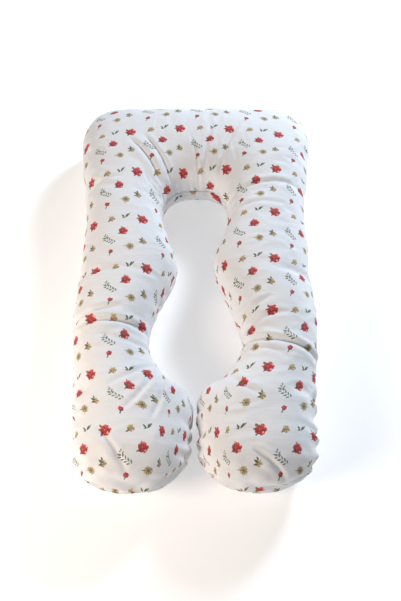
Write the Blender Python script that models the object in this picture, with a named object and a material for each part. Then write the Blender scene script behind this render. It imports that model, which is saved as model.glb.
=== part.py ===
"""U-shaped nursing pillow: a cotton cover in two panels with a zip across the back of the head,
over a nonwoven inner case and its loose fibre filling. Metres, +Z up, +Y towards the head.
The origin is on the floor, under the middle of the pillow."""

import math

import bmesh
import bpy
from mathutils import Vector

# Overall sizes
LENGTH = 1.40
WIDTH = 0.80
THICKNESS = 0.23
SEAM_HEIGHT = 0.105
UNDERSIDE_SAG = 0.012

# Plan of the U, at the height of the seam
HEAD_DEPTH = 0.35
HEAD_CORNER = 0.12
NECK_GAP = 0.214
NECK_FROM_BACK = 0.475
NECK_FULLNESS = 2.8
WAIST_GAP = 0.120
WAIST_SHARE = 0.46
HIP_GAP = 0.274
HIP_FROM_FOOT = 0.435
FEET_GAP = 0.020
FEET_MEET_FROM_FOOT = 0.275
FOOT_CAP = 0.15
SHOULDER_DRAW_IN = 0.0035
LEG_DRAW_IN = 0.027
FOOT_DRAW_IN = 0.052

# How much thinner than the head the filled legs are
LEG_DROP = 0.012
HIP_DROP = 0.025
FOOT_DROP = 0.018

# Cloth layers, from the outside in
COVER_CLOTH = 0.0008
CASE_CLOTH = 0.0006
LAYER_GAP = 0.0005
CLEARANCE = 0.0003

# Zip, laid along X in a shallow channel in the back of the head
ZIP_LENGTH = 0.400
WINDOW_END = 0.020
WINDOW_TO_CORNER = 0.006
RIM_MARGIN = 0.0023
ZIP_RECESS = 0.006
LIP_MARGIN = 0.0013
LIP_DEPTH = 0.0025
BULGE_RISE = 0.022
BULGE_DEPTH = 0.005
TAPE_WIDTH = 0.013
TAPE_CLOTH = 0.0006
TAPE_END = 0.007
COIL_WIDTH = 0.0026
COIL_DEPTH = 0.0024
STOP_LENGTH = 0.003
STOP_GROWTH = 0.0004
SLIDER_LENGTH = 0.013
SLIDER_PLATE = 0.0009
SLIDER_POST = 0.0010
SLIDER_FLANGE = 0.0010
LUG_CHEEK = 0.0009
PIN_RADIUS = 0.0006
EYE_RADIUS = 0.0018
EYE_WIDTH = 0.0024
TAB_LENGTH = 0.026
TAB_WIDTH = 0.0062
TAB_PLATE = 0.0012

# Care label, folded down over the lower panel beside the zip
LABEL_WIDTH = 0.030
LABEL_DROP = 0.030
LABEL_CLOTH = 0.0005
LABEL_X = 0.165

# Fineness of the lofted forms
PLUMPNESS = 2.3
ROW_TURNS = (0, 5, 15, 30, 48, 68, 90, 112, 132, 150, 166, 180)
HEAD_STEPS = 4
CORNER_STEPS = 3
SIDE_STEPS = 2
CAP_TURNS = (18, 36, 54, 72)
TOP, UNDER = 1, -1
LAST_ROW = len(ROW_TURNS) - 1

BACK = LENGTH / 2
FRONT = -LENGTH / 2
LEG_THICKNESS = THICKNESS - LEG_DROP
HIP_THICKNESS = THICKNESS - HIP_DROP
FOOT_THICKNESS = THICKNESS - FOOT_DROP
TAPE_Y = BACK - ZIP_RECESS - COVER_CLOTH - CLEARANCE - TAPE_CLOTH / 2
COIL_INNER = SLIDER_POST / 2 + CLEARANCE
COIL_OUTER = COIL_INNER + COIL_WIDTH
PLATE_INNER = COIL_DEPTH / 2 + CLEARANCE
PLATE_OUTER = PLATE_INNER + SLIDER_PLATE
SLIDER_HALF_WIDTH = COIL_OUTER + CLEARANCE + SLIDER_FLANGE
TAPE_INNER = COIL_OUTER + CLEARANCE
TAPE_OUTER = TAPE_INNER + TAPE_WIDTH
WINDOW_HALF_LENGTH = ZIP_LENGTH / 2 + WINDOW_END
WINDOW_HALF_HEIGHT = SLIDER_HALF_WIDTH + RIM_MARGIN
# The head's corner starts past the zip window, which needs a straight wall
CORNER_RADIUS = min(HEAD_CORNER, WIDTH / 2 - WINDOW_HALF_LENGTH - WINDOW_TO_CORNER)
LIP_HEIGHT = TAPE_OUTER + LIP_MARGIN
BULGE_HEIGHT = LIP_HEIGHT + BULGE_RISE
PIN_Y = TAPE_Y + PLATE_OUTER + CLEARANCE + EYE_RADIUS
SLIDER_X = -ZIP_LENGTH / 2 + CLEARANCE + SLIDER_LENGTH / 2


def mix(a, b, share):
    return a + (b - a) * share


def rounded(value):
    """Turns a sine or cosine into the fuller profile of a stuffed section."""
    return math.copysign(abs(value) ** (2 / PLUMPNESS), value)


# ---- The U as a row of stations, each an outer and an inner seam point and a thickness ----

def neck_arch(turn):
    """Point on the upper edge of the neck hole, turned in degrees from its top."""
    neck_y = BACK - NECK_FROM_BACK
    rise = BACK - HEAD_DEPTH - neck_y
    angle = math.radians(turn)
    across = math.sin(angle) ** (2 / NECK_FULLNESS)
    along = math.cos(angle) ** (2 / NECK_FULLNESS)
    return NECK_GAP / 2 * across, neck_y + rise * along


def head_stations():
    """From the middle of the head to the end of its rounded corner."""
    stations = []
    for step in range(HEAD_STEPS + 1):
        share = step / HEAD_STEPS
        outer = (WINDOW_HALF_LENGTH * share, BACK)
        stations.append((*outer, *neck_arch(56 * share), THICKNESS))
    centre_x = WIDTH / 2 - CORNER_RADIUS
    centre_y = BACK - CORNER_RADIUS
    for step in range(CORNER_STEPS + 1):
        share = step / CORNER_STEPS
        angle = math.radians(90 * share)
        outer_x = centre_x + CORNER_RADIUS * math.sin(angle)
        outer_y = centre_y + CORNER_RADIUS * math.cos(angle)
        thick = mix(THICKNESS, LEG_THICKNESS, share / 2)
        stations.append((outer_x, outer_y, *neck_arch(mix(66, 84, share)), thick))
    return stations


def side_guides():
    """The few stations that set the shape of a leg, from the shoulder to the foot's round end."""
    half = WIDTH / 2
    neck_y = BACK - NECK_FROM_BACK
    hip_y = FRONT + HIP_FROM_FOOT
    waist_y = mix(neck_y, hip_y, WAIST_SHARE)
    meet_y = FRONT + FEET_MEET_FROM_FOOT
    cap_y = FRONT + FOOT_CAP
    leg = half - LEG_DRAW_IN
    foot = half - FOOT_DRAW_IN
    neck, waist, hip, feet = NECK_GAP / 2, WAIST_GAP / 2, HIP_GAP / 2, FEET_GAP / 2

    def below_neck(share):
        return mix(neck_y, waist_y, share)

    def below_waist(share):
        return mix(waist_y, hip_y, share)

    def below_hip(share):
        return mix(hip_y, meet_y, share)

    return [
        (half - SHOULDER_DRAW_IN, mix(BACK - CORNER_RADIUS, neck_y, 0.3), neck, neck_y - 0.010, LEG_THICKNESS),
        (leg, below_neck(-0.2), mix(neck, waist, 0.42), below_neck(0.4), LEG_THICKNESS),
        (leg, waist_y, waist, waist_y, LEG_THICKNESS),
        (leg + 0.003, below_waist(0.55), mix(waist, hip, 0.68), below_waist(0.5), LEG_THICKNESS),
        (leg, hip_y, hip, hip_y, HIP_THICKNESS),
        (mix(leg, foot, 0.4), below_hip(0.65), mix(hip, feet, 0.46), below_hip(0.67), HIP_THICKNESS),
        (mix(leg, foot, 0.7), mix(meet_y, cap_y, 0.2), feet + 0.005, meet_y, FOOT_THICKNESS),
        (foot, cap_y, feet, cap_y, FOOT_THICKNESS),
    ]


def smooth_between(before, start, end, after, share):
    """Point at a share of the way from start to end, on a smooth curve through all four."""
    weights = (
        (-share + 2 * share ** 2 - share ** 3) / 2,
        (2 - 5 * share ** 2 + 3 * share ** 3) / 2,
        (share + 4 * share ** 2 - 3 * share ** 3) / 2,
        (share ** 3 - share ** 2) / 2,
    )
    return tuple(
        sum(weight * value for weight, value in zip(weights, values))
        for values in zip(before, start, end, after)
    )


def half_stations():
    """Stations from the middle of the head down the right side to the start of the foot's end."""
    stations = head_stations()
    before_corner = (WIDTH / 2, BACK, *neck_arch(72), THICKNESS)
    guides = [before_corner, stations[-1], *side_guides()]
    guides.append(guides[-1])
    for index in range(1, len(guides) - 2):
        four = guides[index - 1:index + 3]
        for step in range(1, SIDE_STEPS + 1):
            stations.append(smooth_between(*four, step / SIDE_STEPS))
    return stations


def ring(station, swell, zip_rows):
    """Points round one section: the upper rows from outside to inside, then the lower rows."""
    outer_x, outer_y, inner_x, inner_y, thick = station
    outer, inner = Vector((outer_x, outer_y, 0)), Vector((inner_x, inner_y, 0))
    centre, reach = (outer + inner) / 2, (outer - inner) / 2 * swell
    in_window = outer_y == BACK and outer_x <= WINDOW_HALF_LENGTH
    points = []
    for side in (TOP, UNDER):
        half_height = (thick - SEAM_HEIGHT if side == TOP else SEAM_HEIGHT + UNDERSIDE_SAG) * swell
        for row, turn in enumerate(ROW_TURNS):
            angle = math.radians(turn)
            spot = centre + reach * rounded(math.cos(angle))
            height = max(half_height * rounded(math.sin(angle)), CLEARANCE / 2)
            if in_window and row < len(zip_rows):
                height, depth = zip_rows[row]
                spot = Vector((outer_x, BACK - depth, 0))
            spot.z = max(SEAM_HEIGHT + side * height, 0)
            points.append(spot)
    return points


def foot_pole(station):
    """The end of the foot, once on the upper panel's seam and once on the lower one's."""
    centre_x = (station[0] + station[2]) / 2
    return [Vector((centre_x, FRONT, SEAM_HEIGHT + side * CLEARANCE / 2)) for side in (TOP, UNDER)]


def mirrored(points):
    return [Vector((-point.x, point.y, point.z)) for point in points]


def foot_end(station, zip_rows):
    """Sections of the foot's round end, which close down onto its pole."""
    rings = []
    for turn in CAP_TURNS:
        angle = math.radians(turn)
        forward = FOOT_CAP * rounded(math.sin(angle))
        outer_x, outer_y, inner_x, inner_y, thick = station
        moved = (outer_x, outer_y - forward, inner_x, inner_y - forward, thick)
        rings.append(ring(moved, rounded(math.cos(angle)), zip_rows))
    return rings


class Form:
    """The whole U as one closed surface, whose points every cloth layer and the filling share."""

    def __init__(self, zip_rows):
        stations = half_stations()
        right = [ring(station, 1, zip_rows) for station in stations]
        right += foot_end(stations[-1], zip_rows)
        rings = [mirrored(points) for points in reversed(right[1:])] + right
        pole = foot_pole(stations[-1])
        self.count = len(rings)
        points = [point for points in rings for point in points] + mirrored(pole) + pole
        body = bmesh.new()
        corners = [body.verts.new(point) for point in points]
        faces = self.panel(TOP) + self.panel(UNDER) + self.seam_strip(0) + self.seam_strip(LAST_ROW)
        for face in faces:
            body.faces.new([corners[index] for index in face])
        bmesh.ops.recalc_face_normals(body, faces=body.faces)
        body.normal_update()
        self.points = [corner.co.copy() for corner in corners]
        self.normals = [self.offset_way(index, corner) for index, corner in enumerate(corners)]
        body.free()

    def offset_way(self, index, corner):
        """Outward direction; along the seam it stays level, so that the two panels keep apart."""
        way = corner.normal.copy()
        on_pole = index >= self.count * 2 * len(ROW_TURNS)
        if on_pole or index % len(ROW_TURNS) in (0, LAST_ROW):
            way.z = 0
        return way.normalized()

    def at(self, station, side, row):
        """Index of a point; one past either end of the stations is the foot's pole."""
        poles = self.count * 2 * len(ROW_TURNS)
        lower = 0 if side == TOP else 1
        if station < 0:
            return poles + lower
        if station == self.count:
            return poles + 2 + lower
        return (station * 2 + lower) * len(ROW_TURNS) + row

    def strips(self, corners):
        """Triangles along the U. Every layer splits its faces the same way, so none cuts another."""
        faces = []
        for station in range(-1, self.count):
            a, b, c, d = corners(station)
            on_left = station < self.count // 2
            pair = ((a, b, c), (a, c, d)) if on_left else ((a, b, d), (b, c, d))
            faces += [list(face) for face in pair if len(set(face)) == 3]
        return faces

    def panel(self, side):
        faces = []
        for row in range(LAST_ROW):
            faces += self.strips(lambda station: [
                self.at(station, side, row), self.at(station, side, row + 1),
                self.at(station + 1, side, row + 1), self.at(station + 1, side, row)])
        return faces

    def seam_strip(self, row):
        return self.strips(lambda station: [
            self.at(station, TOP, row), self.at(station, UNDER, row),
            self.at(station + 1, UNDER, row), self.at(station + 1, TOP, row)])

    def moved_in(self, index, depth):
        return self.points[index] - self.normals[index] * depth


# ---- Making objects ----

def material(name, colour, roughness, metallic=0.0):
    made = bpy.data.materials.new(name)
    made.use_nodes = True
    shader = made.node_tree.nodes["Principled BSDF"]
    shader.inputs["Base Color"].default_value = (*colour, 1)
    shader.inputs["Roughness"].default_value = roughness
    shader.inputs["Metallic"].default_value = metallic
    return made


def place(body, name, look, parent=None):
    """Makes an object of a bmesh, whose points are already in world space."""
    bmesh.ops.recalc_face_normals(body, faces=body.faces)
    mesh = bpy.data.meshes.new(name)
    body.to_mesh(mesh)
    body.free()
    mesh.materials.append(look)
    made = bpy.data.objects.new(name, mesh)
    bpy.context.collection.objects.link(made)
    if parent:
        mesh.transform(parent.matrix_world.inverted())
        made.parent = parent
    return made


def axis_empty(name, spot, parent=None):
    """An empty on a joint's axis, which the moving pieces hang from."""
    made = bpy.data.objects.new(name, None)
    bpy.context.collection.objects.link(made)
    made.location = spot
    if parent:
        made.parent = parent
        made.location = Vector(spot) - parent.location
    bpy.context.view_layer.update()
    return made


def smooth(made, angle):
    made.data.shade_smooth()
    made.data.set_sharp_from_angle(angle=math.radians(angle))


def cloth_panel(name, form, side, depth, cloth, look):
    """One panel of a cloth layer: an outer and an inner skin, closed round the seam edge."""
    body = bmesh.new()
    faces = form.panel(side)
    used = sorted({index for face in faces for index in face})
    skins = []
    for skin_depth in (depth, depth + cloth):
        skins.append({index: body.verts.new(form.moved_in(index, skin_depth)) for index in used})
    outer, inner = skins
    for face in faces:
        body.faces.new([outer[index] for index in face])
        body.faces.new([inner[index] for index in reversed(face)])
    back = {outer[index]: inner[index] for index in used}
    for edge in [edge for edge in body.edges if edge.is_boundary and edge.verts[0] in back]:
        start, end = edge.verts
        body.faces.new((start, end, back[end], back[start]))
    smooth(place(body, name, look), 50)


def filling(name, form, depth, look):
    """The filling as one closed solid, with its seam gap filled."""
    body = bmesh.new()
    corners = [body.verts.new(form.moved_in(index, depth)) for index in range(len(form.points))]
    for face in form.panel(TOP) + form.panel(UNDER) + form.seam_strip(0) + form.seam_strip(LAST_ROW):
        body.faces.new([corners[index] for index in face])
    bmesh.ops.remove_doubles(body, verts=body.verts, dist=CLEARANCE * 1.5)
    smooth(place(body, name, look), 50)


def block(low, high, bevel=0.0):
    """A box between two corners, with its long edges eased."""
    body = bmesh.new()
    bmesh.ops.create_cube(body, size=1)
    size = Vector(high) - Vector(low)
    bmesh.ops.scale(body, vec=size, verts=body.verts)
    bmesh.ops.translate(body, vec=(Vector(low) + Vector(high)) / 2, verts=body.verts)
    if bevel:
        along = [edge for edge in body.edges if abs(edge.verts[0].co.x - edge.verts[1].co.x) > size.x / 2]
        bmesh.ops.bevel(body, geom=along, offset=bevel, segments=2, profile=0.5, affect="EDGES")
    return body


def extruded_along_x(profile, low_x, high_x):
    """A solid of one outline in Y and Z, drawn out along X."""
    body = bmesh.new()
    face = body.faces.new([body.verts.new((low_x, y, z)) for y, z in profile])
    drawn = bmesh.ops.extrude_face_region(body, geom=[face])["geom"]
    moved = [item for item in drawn if isinstance(item, bmesh.types.BMVert)]
    bmesh.ops.translate(body, vec=(high_x - low_x, 0, 0), verts=moved)
    return body


def cylinder_along_z(radius, half_height, spot, sides=16):
    body = bmesh.new()
    bmesh.ops.create_cone(
        body, cap_ends=True, segments=sides, radius1=radius, radius2=radius, depth=half_height * 2)
    bmesh.ops.translate(body, vec=spot, verts=body.verts)
    return body


def helper(body, name, look, parent):
    """A shape that only serves a Boolean."""
    made = place(body, name, look, parent)
    made.hide_render = True
    made.display_type = "WIRE"
    return made


def combine(made, other, operation):
    step = made.modifiers.new(other.name, "BOOLEAN")
    step.operation = operation
    step.solver = "EXACT"
    step.object = other


# ---- Cover, inner case and filling ----

def soft_layers(cotton, nonwoven, fibre):
    outer_rows = (
        (WINDOW_HALF_HEIGHT, ZIP_RECESS),
        (LIP_HEIGHT, LIP_DEPTH),
        (BULGE_HEIGHT, BULGE_DEPTH),
    )
    cover_form = Form(outer_rows)
    cloth_panel("cover_top_panel", cover_form, TOP, 0, COVER_CLOTH, cotton)
    cloth_panel("cover_bottom_panel", cover_form, UNDER, 0, COVER_CLOTH, cotton)

    # Under the zip the inner layers stay behind the tape and behind the slider's back plate.
    behind_tape = BACK - TAPE_Y + TAPE_CLOTH / 2 + CLEARANCE
    behind_slider = BACK - TAPE_Y + PLATE_OUTER + CLEARANCE
    inner_rows = (
        (CLEARANCE / 2, behind_slider),
        (LIP_HEIGHT, max(behind_tape, behind_slider - CLEARANCE)),
        (BULGE_HEIGHT, BULGE_DEPTH),
    )
    inner_form = Form(inner_rows)
    case_depth = COVER_CLOTH + LAYER_GAP
    cloth_panel("inner_case_top", inner_form, TOP, case_depth, CASE_CLOTH, nonwoven)
    cloth_panel("inner_case_bottom", inner_form, UNDER, case_depth, CASE_CLOTH, nonwoven)
    filling("fibre_fill", inner_form, case_depth + CASE_CLOTH + LAYER_GAP, fibre)


# ---- Zip ----

def zip_halves(tape_cloth, nylon, metal):
    tape_half = ZIP_LENGTH / 2 + TAPE_END
    for side, word in ((TOP, "upper"), (UNDER, "lower")):
        def level(distance):
            return SEAM_HEIGHT + side * distance
        tape_low = (-tape_half, TAPE_Y - TAPE_CLOTH / 2, level(TAPE_INNER))
        tape_high = (tape_half, TAPE_Y + TAPE_CLOTH / 2, level(TAPE_OUTER))
        place(block(tape_low, tape_high), f"zip_tape_{word}", tape_cloth)
        coil_low = (-ZIP_LENGTH / 2, TAPE_Y - COIL_DEPTH / 2, level(COIL_INNER))
        coil_high = (ZIP_LENGTH / 2, TAPE_Y + COIL_DEPTH / 2, level(COIL_OUTER))
        smooth(place(block(coil_low, coil_high, COIL_WIDTH / 4), f"zip_coil_{word}", nylon), 50)
        stop_depth = COIL_DEPTH / 2 + STOP_GROWTH
        stop_x = -ZIP_LENGTH / 2 - CLEARANCE
        stop_low = (stop_x - STOP_LENGTH, TAPE_Y - stop_depth, level(COIL_INNER))
        stop_high = (stop_x, TAPE_Y + stop_depth, level(COIL_OUTER))
        place(block(stop_low, stop_high, STOP_GROWTH), f"zip_top_stop_{word}", metal)
    bottom_x = ZIP_LENGTH / 2 + CLEARANCE
    bottom_depth = COIL_DEPTH / 2 + STOP_GROWTH
    bottom_low = (bottom_x, TAPE_Y - bottom_depth, SEAM_HEIGHT - COIL_OUTER)
    bottom_high = (bottom_x + STOP_LENGTH, TAPE_Y + bottom_depth, SEAM_HEIGHT + COIL_OUTER)
    place(block(bottom_low, bottom_high, STOP_GROWTH), "zip_bottom_stop", metal)


def slider_outline():
    """Section of the slider: two plates joined by a post, with flanges that clasp the coils."""
    slot = TAPE_CLOTH / 2 + CLEARANCE
    cavity = COIL_OUTER + CLEARANCE
    post = SLIDER_POST / 2
    quarter = [
        (PLATE_OUTER, SLIDER_HALF_WIDTH), (slot, SLIDER_HALF_WIDTH), (slot, cavity),
        (PLATE_INNER, cavity), (PLATE_INNER, post),
    ]
    upper = quarter + [(-y, z) for y, z in reversed(quarter)]
    lower = [(y, -z) for y, z in reversed(upper)]
    return [(TAPE_Y + y, SEAM_HEIGHT + z) for y, z in upper + lower]


def zip_slider(metal):
    slide_axis = axis_empty("slider_axis", (SLIDER_X, TAPE_Y, SEAM_HEIGHT))
    ends = (SLIDER_X - SLIDER_LENGTH / 2, SLIDER_X + SLIDER_LENGTH / 2)
    slider = place(extruded_along_x(slider_outline(), *ends), "zip_slider", metal, slide_axis)
    cheek_inner = EYE_WIDTH / 2 + CLEARANCE
    cheek_outer = cheek_inner + LUG_CHEEK
    plate_sink = TAPE_Y + (PLATE_INNER + PLATE_OUTER) / 2
    for side, word in ((TOP, "upper"), (UNDER, "lower")):
        low = (SLIDER_X - EYE_RADIUS, plate_sink, SEAM_HEIGHT + side * cheek_inner)
        high = (SLIDER_X + EYE_RADIUS, PIN_Y + EYE_RADIUS, SEAM_HEIGHT + side * cheek_outer)
        cheek = helper(block(low, high), f"lug_cheek_{word}", metal, slide_axis)
        combine(slider, cheek, "UNION")
    pin_reach = (cheek_inner + cheek_outer) / 2
    pin_spot = (SLIDER_X, PIN_Y, SEAM_HEIGHT)
    pin = helper(cylinder_along_z(PIN_RADIUS, pin_reach, pin_spot), "lug_pin", metal, slide_axis)
    combine(slider, pin, "UNION")
    return slide_axis


def pull_tab(metal, slide_axis):
    """The tab lies along the closed zip and turns on the lug's pin."""
    hinge_axis = axis_empty("pull_axis", (SLIDER_X, PIN_Y, SEAM_HEIGHT), slide_axis)
    neck_end = EYE_RADIUS + LUG_CHEEK + CLEARANCE
    low = (SLIDER_X + neck_end, PIN_Y - TAB_PLATE / 2, SEAM_HEIGHT - TAB_WIDTH / 2)
    high = (SLIDER_X + TAB_LENGTH, PIN_Y + TAB_PLATE / 2, SEAM_HEIGHT + TAB_WIDTH / 2)
    tab = place(block(low, high, TAB_PLATE / 4), "zip_pull_tab", metal, hinge_axis)
    neck_low = (SLIDER_X, PIN_Y - TAB_PLATE / 2, SEAM_HEIGHT - EYE_WIDTH / 2)
    neck_high = (SLIDER_X + neck_end * 2, PIN_Y + TAB_PLATE / 2, SEAM_HEIGHT + EYE_WIDTH / 2)
    neck = helper(block(neck_low, neck_high), "tab_neck", metal, hinge_axis)
    spot = (SLIDER_X, PIN_Y, SEAM_HEIGHT)
    eye = helper(cylinder_along_z(EYE_RADIUS, EYE_WIDTH / 2, spot), "tab_eye", metal, hinge_axis)
    hole_radius = PIN_RADIUS + CLEARANCE
    hole = helper(cylinder_along_z(hole_radius, EYE_WIDTH, spot), "tab_hole", metal, hinge_axis)
    combine(tab, neck, "UNION")
    combine(tab, eye, "UNION")
    combine(tab, hole, "DIFFERENCE")


# ---- Care label ----

def wall_depth(drop):
    """How far in from the back of the head the lower panel lies, at a drop below the seam."""
    if drop < LIP_HEIGHT:
        share = (drop - WINDOW_HALF_HEIGHT) / (LIP_HEIGHT - WINDOW_HALF_HEIGHT)
        return mix(ZIP_RECESS, LIP_DEPTH, share)
    return mix(LIP_DEPTH, BULGE_DEPTH, (drop - LIP_HEIGHT) / (BULGE_HEIGHT - LIP_HEIGHT))


def care_label(satin):
    top = WINDOW_HALF_HEIGHT + CLEARANCE * 3
    drops = (top, LIP_HEIGHT, top + LABEL_DROP)
    against_wall = [(BACK - wall_depth(drop) + LAYER_GAP, SEAM_HEIGHT - drop) for drop in drops]
    outside = [(y + LABEL_CLOTH, z) for y, z in reversed(against_wall)]
    ends = (LABEL_X - LABEL_WIDTH / 2, LABEL_X + LABEL_WIDTH / 2)
    place(extruded_along_x(against_wall + outside, *ends), "care_label", satin)


def main():
    for existing in list(bpy.data.objects):
        bpy.data.objects.remove(existing, do_unlink=True)
    cotton = material("printed_cotton", (0.88, 0.89, 0.91), 0.85)
    nonwoven = material("nonwoven_casing", (0.90, 0.90, 0.88), 0.90)
    fibre = material("polyester_fibre", (0.95, 0.95, 0.94), 0.95)
    tape_cloth = material("zip_tape_cloth", (0.86, 0.86, 0.85), 0.80)
    nylon = material("zip_nylon", (0.84, 0.84, 0.82), 0.40)
    metal = material("nickel_plate", (0.72, 0.71, 0.69), 0.28, 1.0)
    satin = material("label_satin", (0.92, 0.92, 0.90), 0.55)
    soft_layers(cotton, nonwoven, fibre)
    zip_halves(tape_cloth, nylon, metal)
    pull_tab(metal, zip_slider(metal))
    care_label(satin)


main()
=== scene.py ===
"""A U-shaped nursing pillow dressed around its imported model: a printed cotton cover in two panels,
an inner case, loose fibre filling, a coil zip across the back of the head, and a care label."""

import math

import bpy
import numpy as np
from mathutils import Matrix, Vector, noise


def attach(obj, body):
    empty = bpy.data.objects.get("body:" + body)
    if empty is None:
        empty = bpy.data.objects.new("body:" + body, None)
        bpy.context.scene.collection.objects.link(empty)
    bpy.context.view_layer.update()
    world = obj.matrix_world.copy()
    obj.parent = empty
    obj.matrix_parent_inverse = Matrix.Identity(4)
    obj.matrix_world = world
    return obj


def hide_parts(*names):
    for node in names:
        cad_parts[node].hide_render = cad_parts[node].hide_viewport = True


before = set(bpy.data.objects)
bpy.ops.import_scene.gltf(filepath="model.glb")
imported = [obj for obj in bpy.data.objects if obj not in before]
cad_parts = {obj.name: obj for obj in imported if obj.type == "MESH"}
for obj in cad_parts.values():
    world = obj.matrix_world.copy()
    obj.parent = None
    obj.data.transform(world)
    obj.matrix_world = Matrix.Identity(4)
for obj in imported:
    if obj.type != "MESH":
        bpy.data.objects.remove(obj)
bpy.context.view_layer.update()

# ---- Sizes, in metres ----
HALF_WIDTH = 0.400
BACK = 0.700
SEAM_HEIGHT = 0.105
HEAD_THICKNESS = 0.230
UNDERSIDE_SAG = 0.012
PLUMPNESS = 2.3
HEAD_CORNER = 0.120
ZIP_WINDOW_ENDS = (-0.220, 0.232)
NECK_HALF_GAP = 0.107
NECK_Y = 0.225
NECK_RISE = 0.125
NECK_FULLNESS = 2.8
FOOT_CAP = 0.150
CELL = 0.0095
ROWS = 48
CAP_ROWS = 20
COVER_CLOTH = 0.0008
UNDER_CUT = (0.061, 0.083)
ZIP_GAP = 0.0069
FEET_START = -0.30
FEET_GAP = 0.005
SWELL_FRAMES = 22
SWELL_LIMIT = 0.014
CASE_DEPTH = 0.0115
FILLING_DEPTH = 0.0145

# Half of the outline from shoulder to foot: outer x, y, inner x, y, thickness
LEG_OUTLINE = (
    (0.3965, 0.4735, 0.1070, 0.2150, 0.218),
    (0.3730, 0.2700, 0.0873, 0.1350, 0.218),
    (0.3730, 0.0000, 0.0600, 0.0000, 0.218),
    (0.3760, -0.1460, 0.1124, -0.1330, 0.218),
    (0.3730, -0.2650, 0.1370, -0.2650, 0.205),
    (0.3630, -0.3690, 0.0786, -0.3722, 0.205),
    (0.3555, -0.4500, 0.0150, -0.4250, 0.212),
    (0.3480, -0.5500, 0.0100, -0.5500, 0.212),
)


# ---- The cover's form ----

def neck_arch(turn):
    """Point on the seam round the upper edge of the neck hole, turned from its top."""
    angle = math.radians(turn)
    across, along = math.sin(angle) ** (2 / NECK_FULLNESS), math.cos(angle) ** (2 / NECK_FULLNESS)
    return NECK_HALF_GAP * across, NECK_Y + NECK_RISE * along


def half_outline():
    """From the middle of the head round its corner and down one leg."""
    sections = []
    for share in np.linspace(0, 1, 5):
        sections.append((ZIP_WINDOW_ENDS[1] * share, BACK, *neck_arch(56 * share), HEAD_THICKNESS))
    for share in np.linspace(0, 1, 4):
        angle = math.radians(90 * share)
        outer_x = HALF_WIDTH - HEAD_CORNER + HEAD_CORNER * math.sin(angle)
        outer_y = BACK - HEAD_CORNER + HEAD_CORNER * math.cos(angle)
        sections.append((outer_x, outer_y, *neck_arch(66 + 18 * share), HEAD_THICKNESS - 0.006 * share))
    return sections + list(LEG_OUTLINE)


def whole_outline():
    """Sections at even steps along the U, from the left foot over the head to the right foot."""
    right = np.array(half_outline())
    left = right[::-1] * (-1, 1, -1, 1, 1)
    keys = np.concatenate([left, right[1:]])
    middle = (keys[:, :2] + keys[:, 2:4]) / 2
    along = np.concatenate([[0], np.cumsum(np.linalg.norm(np.diff(middle, axis=0), axis=1))])
    slope = np.gradient(keys, along, axis=0)
    slope[[0, -1], 0] = slope[[0, -1], 2] = 0
    steps = 2 * round(along[-1] / CELL / 2)
    spots = np.linspace(0, along[-1], steps + 1)
    index = np.clip(np.searchsorted(along, spots, side="right") - 1, 0, len(along) - 2)
    span = (along[index + 1] - along[index])[:, None]
    share = (spots - along[index])[:, None] / span
    start, end = keys[index], keys[index + 1]
    return (start * (1 + 2 * share) * (1 - share) ** 2 + end * share ** 2 * (3 - 2 * share)
            + slope[index] * span * share * (1 - share) ** 2
            - slope[index + 1] * span * share ** 2 * (1 - share))


def section_profile(fullness, aspect):
    """Reach and height from crown to seam at even steps of cloth, and how wide the section spreads
    when it is filled less but holds the same length of cloth."""
    turn = np.linspace(math.pi / 2, 0, 200)
    reach, height = np.cos(turn) ** (2 / PLUMPNESS), np.sin(turn) ** (2 / PLUMPNESS)

    def cloth(spread, filled):
        steps = np.hypot(np.diff(reach) * spread, np.diff(height) * aspect * filled)
        return np.concatenate([[0], np.cumsum(steps)])

    full = cloth(1, 1)[-1]
    spreads = np.linspace(1, full, 20)
    spread = np.interp(full, [cloth(s, fullness)[-1] for s in spreads], spreads)
    length = cloth(spread, fullness)
    return length / length[-1], reach, height * fullness, spread, full


def cover_grid(fullness):
    """Points of the top and the under panel, row by row from foot to foot, and each one's place on
    the cloth as it was cut flat."""
    sections = whole_outline()
    across = np.linspace(1, -1, ROWS + 1)

    def grid_row(section, v):
        """One row of cloth, across a leg or out over the round foot."""
        outer, inner, thick = section[:2], section[2:4], section[4]
        centre, half = (outer + inner) / 2, (outer - inner) / 2
        rise = thick - SEAM_HEIGHT
        share, reach, height, spread, length = section_profile(fullness, rise / np.linalg.norm(half))
        x, y = across * np.sqrt(1 - v * v / 2), v * np.sqrt(1 - across ** 2 / 2)
        radius = np.minimum(np.hypot(x, y), 1)
        rounding = (np.abs(x) ** PLUMPNESS + np.abs(y) ** PLUMPNESS) ** (1 / PLUMPNESS)
        way = np.column_stack([x, y]) / np.maximum(rounding, 1e-9)[:, None]
        out = way * (np.interp(radius, share, reach) * spread)[:, None]
        cut = way * (radius * length)[:, None]
        high = np.interp(radius, share, height)
        plan = centre + out[:, :1] * half - out[:, 1:] * (0, FOOT_CAP)
        flat = centre + cut[:, :1] * half - cut[:, 1:] * (0, FOOT_CAP)
        top = np.column_stack([plan, SEAM_HEIGHT + rise * high])
        under = np.column_stack([plan, np.maximum(SEAM_HEIGHT - (SEAM_HEIGHT + UNDERSIDE_SAG) * high, 0)])
        return top, under, flat

    foot = np.linspace(0, 1, CAP_ROWS + 1)[1:]
    rows = [grid_row(sections[0], v) for v in foot[::-1]]
    rows += [grid_row(section, 0.0) for section in sections]
    rows += [grid_row(sections[-1], v) for v in foot]
    return tuple(np.array(part) for part in zip(*rows))


def grid_faces(stations, rows):
    """Quads of a panel's grid, which face up."""
    index = np.arange(stations * rows).reshape(stations, rows)
    return np.stack([index[:-1, :-1], index[:-1, 1:], index[1:, 1:], index[1:, :-1]], -1).reshape(-1, 4)


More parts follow.
